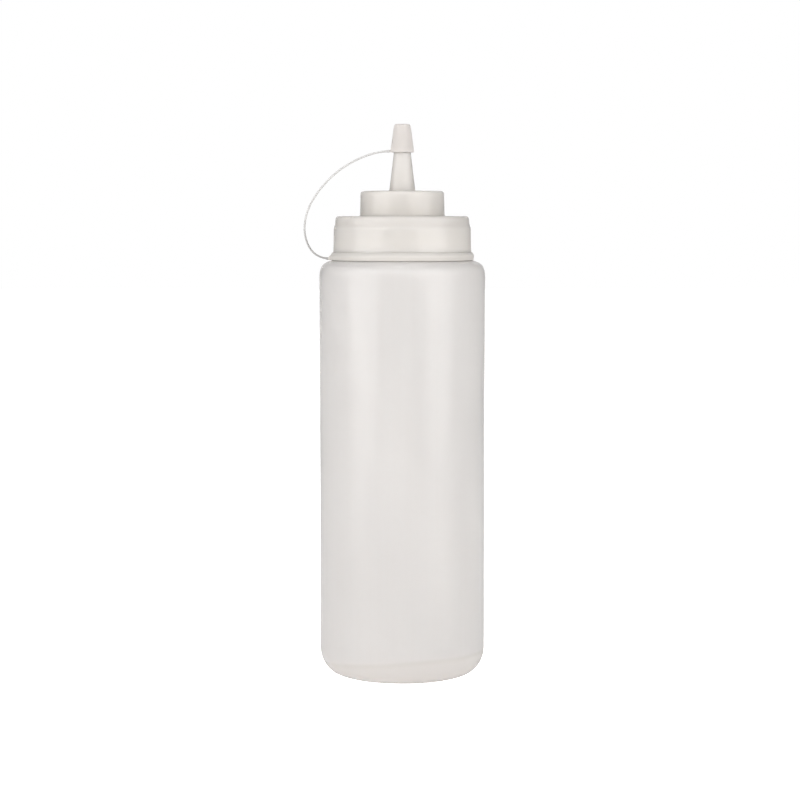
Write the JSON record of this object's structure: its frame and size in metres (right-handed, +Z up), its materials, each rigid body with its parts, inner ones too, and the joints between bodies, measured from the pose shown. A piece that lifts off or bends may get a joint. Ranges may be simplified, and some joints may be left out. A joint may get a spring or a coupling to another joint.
{
  "type": "squeeze bottle",
  "caption": "Tall round translucent squeeze bottle with a wide screw cap, a stepped cone nozzle and a small tip cap held by a thin tether.",
  "frame": {"origin": "centre of the base, on the surface the bottle stands on", "axes": "+Z up along the bottle's axis towards the nozzle; the tether's arc lies in the XZ plane on the -X side"},
  "size_m": [0.0876, 0.08, 0.2658],
  "materials": {
    "bottle_plastic": "milky translucent soft polyethylene, satin",
    "cap_plastic": "milky translucent moulded polyethylene, satin",
    "seal_rubber": "soft pale silicone, matt",
    "tether_plastic": "milky translucent moulded polyethylene, satin",
    "tip_plastic": "milky translucent moulded polyethylene, satin"
  },
  "bodies": {
    "bottle": {"bottle_body": "bottle_plastic"},
    "seal": {"seal_ring": "seal_rubber"},
    "cap": {"screw_cap": "cap_plastic"},
    "ring": {"tether_ring": "tether_plastic", "tether": "tether_plastic"},
    "tip": {"tip_cap": "tip_plastic"}
  },
  "joints": [
    {"name": "cap_lift", "type": "slide", "parent": "bottle", "child": "seal", "axis": [0, 0, 1], "range_m": [0, 0.0234]},
    {"name": "cap_unscrew", "type": "hinge", "parent": "seal", "child": "cap", "pos_m": [0, 0, 0.21], "axis": [0, 0, 1], "range_deg": [0, 1980]},
    {"name": "ring_swivel", "type": "hinge", "parent": "cap", "child": "ring", "pos_m": [0, 0, 0.2028], "axis": [0, 0, 1], "continuous": true},
    {"name": "tip_cap_pull", "type": "slide", "parent": "ring", "child": "tip", "axis": [0, 0, 1], "range_m": [0, 0.014], "deforming": ["tether"]}
  ],
  "couplings": [
    {"joint": "cap_lift", "follows": "cap_unscrew", "m_per_rad": 0.0006737}
  ]
}
